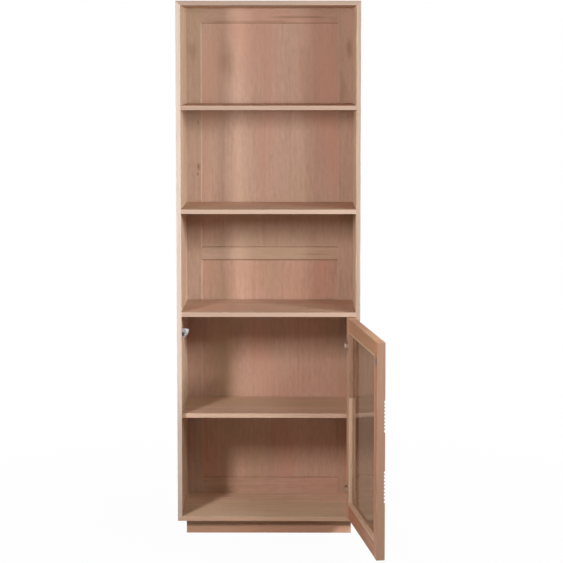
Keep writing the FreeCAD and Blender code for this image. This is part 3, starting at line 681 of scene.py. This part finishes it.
BEAD_WASH_AND_LIGHT = (0.68, 0.49, 0.36)
BEAD_SHADOW = (0.34, 0.19, 0.13)
BEAD_SHADOW_LEVEL = 0.504
BEADS = (
    ("hinge_side_bead", "Z", "X", (BEAD_SHADOW_LEVEL, BEAD_SHADOW)),
    ("free_side_bead", "Z", "X", None),
    ("top_bead", "X", "Z", None),
    ("bottom_bead", "X", "Z", None),
)
for seed, (piece, along, across, stain_and_shadow) in enumerate(BEADS, start=41):
    wear(piece, washed_wood(
        piece, along, across, seed, BEAD_WASH_AND_LIGHT, stain_and_shadow=stain_and_shadow, turned=DOOR_TURN, gloss=DOOR_GLOSS,
    ))

GLASS_TINT = (0.27, 0.185, 0.125)
DUSTY_TINT = (0.30, 0.22, 0.16)
DUST_PER_METRE = 14.0
GLASS_IOR = 1.5


def door_pane(name):
    """Polished glass with a warm tint and a trace of dust."""
    material, shader, start = new_material(name)
    where = start.node("ShaderNodeTexCoord", output="Object")
    dust = start.node("ShaderNodeTexNoise", {}, {"Vector": where, "Scale": DUST_PER_METRE, "Detail": 4.0})
    dust = dust.step(0.45, 0.8)
    (dust * 0.3).blend(GLASS_TINT, DUSTY_TINT).feed(shader, "Base Color")
    (dust * 0.03 + 0.005).feed(shader, "Roughness")
    shader.inputs["Transmission Weight"].default_value = 1.0
    shader.inputs["IOR"].default_value = GLASS_IOR
    return material


wear("door_glass", door_pane("door_glass_tinted"))


# Strike plate: a small plate of dark steel that the magnet holds while the door is shut.
# One screw fixes it to the free stile's inner face.

STRIKE_STEEL = (0.20, 0.18, 0.165)
STRIKE_DULL = (0.11, 0.10, 0.09)
wear("strike_plate", plated_metal("strike_dark_steel", STRIKE_STEEL, STRIKE_DULL, 0.38))


# Screws: zinc-plated steel with raised countersunk heads, a cross recess and a rolled thread.
# They hold the back, the plinth, the catch, the hinges and the strike plate, each turned at random.

CROWN_RISE = 0.14
CROWN_FLAT = 0.55
RECESS_LENGTH = 1.15
RECESS_WIDTH = 0.26
RECESS_DEPTH = 1.3
HEAD_FACETS = 24
SHANK_FACETS = 12
SHANK_RINGS = 44
THREAD_CUT = 0.22
TIP_LENGTH = 2.2
TIP_WIDTH = 0.8
SPIN_SEED = 5
SCREW_CORNER = math.radians(30.0)
MERGE_GAP = 1e-6
RIM_GAP = 1e-5


def screw_tree():
    """The rule that puts a turned screw at each point, with its head out and its tip along a heading.

    The crown and the recess are shares of the head's radius and depth, and the tip of the shank's radius.
    """
    tree = bpy.data.node_groups.new("raised_screws", "GeometryNodeTree")
    for name, kind in (
        ("Heads", "Geometry"), ("Heading", "Vector"), ("Head radius", "Float"), ("Head depth", "Float"),
        ("Shank radius", "Float"), ("Length", "Float"), ("Pitch", "Float"), ("Metal", "Material"),
    ):
        tree.interface.new_socket(name=name, in_out="INPUT", socket_type=f"NodeSocket{kind}")
    tree.interface.new_socket(name="Screws", in_out="OUTPUT", socket_type="NodeSocketGeometry")
    given = Wire(tree).node("NodeGroupInput", output="Heads")
    head_radius, head_depth = given.pick("Head radius"), given.pick("Head depth")
    shank_radius, length, pitch = given.pick("Shank radius"), given.pick("Length"), given.pick("Pitch")

    def upright(height):
        return given.node("ShaderNodeCombineXYZ", {}, {"X": 0.0, "Y": 0.0, "Z": height})

    def turned_cone(wide, narrow, depth, start, sides):
        cone = given.node(
            "GeometryNodeMeshCone",
            {},
            {"Vertices": sides, "Radius Bottom": wide, "Radius Top": narrow, "Depth": depth},
        )
        return given.node("GeometryNodeTransform", {}, {"Geometry": cone, "Translation": upright(start)})

    def recess_bar(long_side, short_side):
        size = given.node(
            "ShaderNodeCombineXYZ",
            {},
            {"X": head_radius * long_side, "Y": head_radius * short_side, "Z": head_depth * RECESS_DEPTH},
        )
        return given.node("GeometryNodeMeshCube", {}, {"Size": size})

    crown_height = head_radius * CROWN_RISE
    crown = turned_cone(
        head_radius * CROWN_FLAT, head_radius, crown_height, crown_height * -1.0, HEAD_FACETS
    )
    taper = turned_cone(head_radius, shank_radius, head_depth, 0.0, HEAD_FACETS)
    solid_head = given.node("GeometryNodeMeshBoolean", {"operation": "UNION"}, {1: [crown, taper]})
    bars = [recess_bar(RECESS_LENGTH, RECESS_WIDTH), recess_bar(RECESS_WIDTH, RECESS_LENGTH)]
    cross = given.node("GeometryNodeMeshBoolean", {"operation": "UNION"}, {1: bars})
    head = given.node("GeometryNodeMeshBoolean", {"operation": "DIFFERENCE"}, {0: solid_head, 1: cross})

    tip_length = shank_radius * TIP_LENGTH
    thread_length = length - head_depth - tip_length
    shank = given.node(
        "GeometryNodeMeshCylinder",
        {},
        {
            "Vertices": SHANK_FACETS, "Side Segments": SHANK_RINGS,
            "Radius": shank_radius, "Depth": thread_length,
        },
    )
    spot = given.node("GeometryNodeInputPosition")
    axes = given.node("ShaderNodeSeparateXYZ", {}, {"Vector": spot})
    groove = given.math("PINGPONG", axes.pick("Z"), pitch * 0.5) / (pitch * 0.5) * -THREAD_CUT
    inward = given.node(
        "ShaderNodeCombineXYZ", {}, {"X": axes.pick("X") * groove, "Y": axes.pick("Y") * groove, "Z": 0.0}
    )
    shank = given.node("GeometryNodeSetPosition", {}, {"Geometry": shank, "Offset": inward})
    shank = given.node(
        "GeometryNodeTransform",
        {},
        {"Geometry": shank, "Translation": upright(head_depth + thread_length * 0.5)},
    )
    tip = turned_cone(shank_radius * TIP_WIDTH, 0.0, tip_length, length - tip_length, SHANK_FACETS)
    screw = given.node("GeometryNodeJoinGeometry", {}, {"Geometry": [head, shank, tip]})

    aimed = given.node("FunctionNodeAlignRotationToVector", {"axis": "Z"}, {"Vector": given.pick("Heading")})
    spin = given.node(
        "FunctionNodeRandomValue", {"data_type": "FLOAT"}, {2: 0.0, 3: math.tau, 8: SPIN_SEED}, 1
    )
    spun = given.node("FunctionNodeAxisAngleToRotation", {}, {"Axis": (0.0, 0.0, 1.0), "Angle": spin})
    turned = given.node(
        "FunctionNodeRotateRotation", {"rotation_space": "LOCAL"}, {"Rotation": aimed, "Rotate By": spun}
    )
    driven = given.node(
        "GeometryNodeInstanceOnPoints", {}, {"Points": given, "Instance": screw, "Rotation": turned}
    )
    driven = given.node("GeometryNodeRealizeInstances", {}, {"Geometry": driven})
    driven = given.node("GeometryNodeSetMaterial", {}, {"Geometry": driven, "Material": given.pick("Metal")})
    driven.feed(tree.nodes.new("NodeGroupOutput"), "Screws")
    return tree


def screw_heads(node, heading):
    """The middle of each packed screw's head, with the radius of the heads and the screws' length."""
    shape = bmesh.new()
    shape.from_mesh(nodes[node].data)
    bmesh.ops.remove_doubles(shape, verts=shape.verts, dist=MERGE_GAP)
    shape.verts.index_update()
    shape.verts.ensure_lookup_table()
    left = set(range(len(shape.verts)))
    heads, radius, length = [], 0.0, 0.0
    while left:
        front = [min(left)]
        left.discard(front[0])
        solid = []
        while front:
            vertex = shape.verts[front.pop()]
            solid.append(vertex.co.copy())
            joined = {edge.other_vert(vertex).index for edge in vertex.link_edges} & left
            left -= joined
            front.extend(sorted(joined))
        depths = [spot.dot(heading) for spot in solid]
        rim = [spot for spot, depth in zip(solid, depths) if depth < min(depths) + RIM_GAP]
        middle = sum(rim, Vector()) / len(rim)
        heads.append(middle)
        radius = max((spot - middle).length for spot in rim)
        length = max(depths) - min(depths)
    shape.free()
    return heads, radius, length


def drive_screws(node, body, heading, head_depth, shank_radius, pitch):
    """Put turned screws in place of a node's plain ones."""
    heads, radius, length = screw_heads(node, heading)
    points = bpy.data.meshes.new(f"{node}_heads")
    points.from_pydata(heads, [], [])
    holder = bpy.data.objects.new(f"{node}_heads", points)
    bpy.context.scene.collection.objects.link(holder)
    rule = holder.modifiers.new("screws", "NODES")
    rule.node_group = raised_screws
    sizes = {
        "Heading": heading, "Head radius": radius, "Head depth": head_depth, "Shank radius": shank_radius,
        "Length": length, "Pitch": pitch, "Metal": screw_zinc,
    }
    for socket in raised_screws.interface.items_tree:
        if socket.name in sizes:
            rule[socket.identifier] = sizes[socket.name]
    seen = holder.evaluated_get(bpy.context.evaluated_depsgraph_get())
    mesh = bpy.data.meshes.new_from_object(seen)
    holder.modifiers.remove(rule)
    bpy.data.objects.remove(holder)
    mesh.shade_smooth()
    mesh.set_sharp_from_angle(angle=SCREW_CORNER)
    new_piece(f"{node}_turned", mesh, body, "screw_steel", node)


raised_screws = screw_tree()
SCREW_ZINC = (0.62, 0.60, 0.55)
SCREW_DULL = (0.40, 0.38, 0.34)
screw_zinc = plated_metal("screw_zinc", SCREW_ZINC, SCREW_DULL, 0.3)
INTO_DOOR = Vector((math.sin(OPEN_ANGLE), -math.cos(OPEN_ANGLE), 0.0))

# Head depth, shank radius and thread pitch
FRAME_SCREW = (0.0030, 0.0019, 0.0018)
SMALL_SCREW = (0.00145, 0.00175, 0.0014)
ARM_SCREW = (0.0024, 0.0022, 0.0008)
for screws, body, heading, sizes in (
    ("back_screws", "carcass", Vector((0.0, -1.0, 0.0)), FRAME_SCREW),
    ("plinth_screws", "carcass", Vector((0.0, 0.0, 1.0)), FRAME_SCREW),
    ("catch_screws", "carcass", Vector((-1.0, 0.0, 0.0)), SMALL_SCREW),
    ("hinge_plate_screws", "carcass", Vector((1.0, 0.0, 0.0)), SMALL_SCREW),
    ("hinge_arm_screws", "carcass", Vector((1.0, 0.0, 0.0)), ARM_SCREW),
    ("hinge_cup_screws", "door", INTO_DOOR, SMALL_SCREW),
    ("strike_screw", "door", INTO_DOOR, SMALL_SCREW),
):
    drive_screws(screws, body, heading, *sizes)


# Studio: a floor and a far backdrop of pale paper that the camera sees as white. Tall soft boxes stand
# at eye level in front, the left one a little warmer, a large one stands behind, and a narrow one hangs
# over the top.

FLOOR_HALF = 12.0
FLOOR_BACK = 12.0
BACKDROP_HEIGHT = 8.0
PAPER = (0.45, 0.445, 0.44, 1.0)
WHITE = (1.0, 1.0, 1.0)
FLOOR_GLOW = 0.975
SHADE_REACH = (0.3, 2.2)


def stage_sheet(name, corners, material):
    """A flat sheet of the stage."""
    mesh = bpy.data.meshes.new(name)
    mesh.from_pydata(corners, [], [(0, 1, 2, 3)])
    made = bpy.data.objects.new(name, mesh)
    bpy.context.scene.collection.objects.link(made)
    made.data.materials.append(material)


def in_view(start):
    """1 on what the camera sees, straight or by way of gloss and glass, and 0 on what lights the object."""
    path = start.node("ShaderNodeLightPath", output="Is Camera Ray")
    seen = start.math("MAXIMUM", path, path.pick("Is Glossy Ray"))
    return start.math("MAXIMUM", seen, path.pick("Is Transmission Ray"))


def studio_white(name, glow):
    """Pale paper that the camera sees as white; a glow below 1 leaves a soft shadow near the middle."""
    material, shader, start = new_material(name)
    paper = start.node("ShaderNodeBsdfDiffuse", {}, {"Color": PAPER})
    white = start.node("ShaderNodeEmission", {}, {"Color": rgba(WHITE), "Strength": 1.0})
    where = start.node("ShaderNodeTexCoord", output="Object")
    far = start.node("ShaderNodeVectorMath", {"operation": "LENGTH"}, {0: where}, "Value")
    share = glow + far.step(*SHADE_REACH) * (1.0 - glow)
    mixed = start.node("ShaderNodeMixShader", {}, {0: in_view(start) * share, 1: paper, 2: white})
    mixed.feed(material.node_tree.nodes["Material Output"], "Surface")
    material.node_tree.nodes.remove(shader)
    return material


FLOOR_CORNERS = (
    (-FLOOR_HALF, -FLOOR_HALF, 0.0), (FLOOR_HALF, -FLOOR_HALF, 0.0),
    (FLOOR_HALF, FLOOR_BACK, 0.0), (-FLOOR_HALF, FLOOR_BACK, 0.0),
)
BACKDROP_CORNERS = (
    (-FLOOR_HALF, FLOOR_BACK, 0.0), (FLOOR_HALF, FLOOR_BACK, 0.0),
    (FLOOR_HALF, FLOOR_BACK, BACKDROP_HEIGHT), (-FLOOR_HALF, FLOOR_BACK, BACKDROP_HEIGHT),
)
stage_sheet("studio_floor", FLOOR_CORNERS, studio_white("floor_paper", FLOOR_GLOW))
stage_sheet("studio_backdrop", BACKDROP_CORNERS, studio_white("backdrop_paper", 1.0))

AMBIENT = 0.02
world = bpy.data.worlds.new("studio_air")
bpy.context.scene.world = world
world.use_nodes = True
fill = world.node_tree.nodes["Background"]
fill.inputs["Color"].default_value = rgba(WHITE)
(AMBIENT + in_view(Wire(world.node_tree)) * (1.0 - AMBIENT)).feed(fill, "Strength")

LAMP_AIM = Vector((0.0, 0.0, 0.35))
WARM_LIGHT = (1.0, 0.93, 0.91)
COOL_LIGHT = (0.97, 1.0, 0.98)


def soft_lamp(name, place, power, size, tint, spread=180.0, mirrored=True):
    """A soft box, its width and height given, that looks down at the cupboard.

    spread is the angle in degrees that its light fills; a grid in front makes it narrower. A lamp that
    is not mirrored leaves no glare on waxed wood.
    """
    lamp = bpy.data.lights.new(name, "AREA")
    lamp.shape = "RECTANGLE"
    lamp.energy = power
    lamp.size, lamp.size_y = size
    lamp.color = tint
    lamp.spread = math.radians(spread)
    held = bpy.data.objects.new(name, lamp)
    held.location = place
    held.visible_glossy = mirrored
    held.rotation_euler = (LAMP_AIM - Vector(place)).to_track_quat("-Z", "Y").to_euler()
    bpy.context.scene.collection.objects.link(held)


soft_lamp("left_soft_box", (-1.2, -2.25, 1.70), 40.5, (0.28, 0.55), WARM_LIGHT)
soft_lamp("right_soft_box", (2.4, -2.0, 1.75), 72.0, (0.50, 0.60), COOL_LIGHT)
soft_lamp("near_right_soft_box", (1.05, -1.85, 1.66), 11.1, (0.25, 0.55), COOL_LIGHT)
soft_lamp("back_soft_box", (-1.4, 3.2, 2.0), 70.0, (1.50, 1.50), WHITE, mirrored=False)
soft_lamp("top_soft_box", (0.0, 0.6, 4.2), 5.0, (0.80, 0.80), WHITE, spread=60.0)


# Camera: a long lens at eye height, a little to the right of the middle. It looks down slightly, and
# the lens is shifted down by some pixels, so that the uprights stay nearly upright.

IMAGE_SIDE = 563.0
FOCAL_PIXELS = 1879.57
SENSOR = 36.0
SHIFT_PIXELS = 51.5
CAMERA_PLACE = (0.0935, -6.80849, 1.67895)
CAMERA_TURN = (84.9561, 0.0159, 0.4095)
lens = bpy.data.cameras.new("photo_camera")
lens.sensor_width = SENSOR
lens.lens = FOCAL_PIXELS / IMAGE_SIDE * SENSOR
lens.shift_y = -SHIFT_PIXELS / IMAGE_SIDE
camera = bpy.data.objects.new("photo_camera", lens)
camera.location = CAMERA_PLACE
camera.rotation_euler = [math.radians(angle) for angle in CAMERA_TURN]
bpy.context.scene.collection.objects.link(camera)
bpy.context.scene.camera = camera
bpy.context.scene.view_settings.view_transform = "Standard"


bpy.context.view_layer.update()
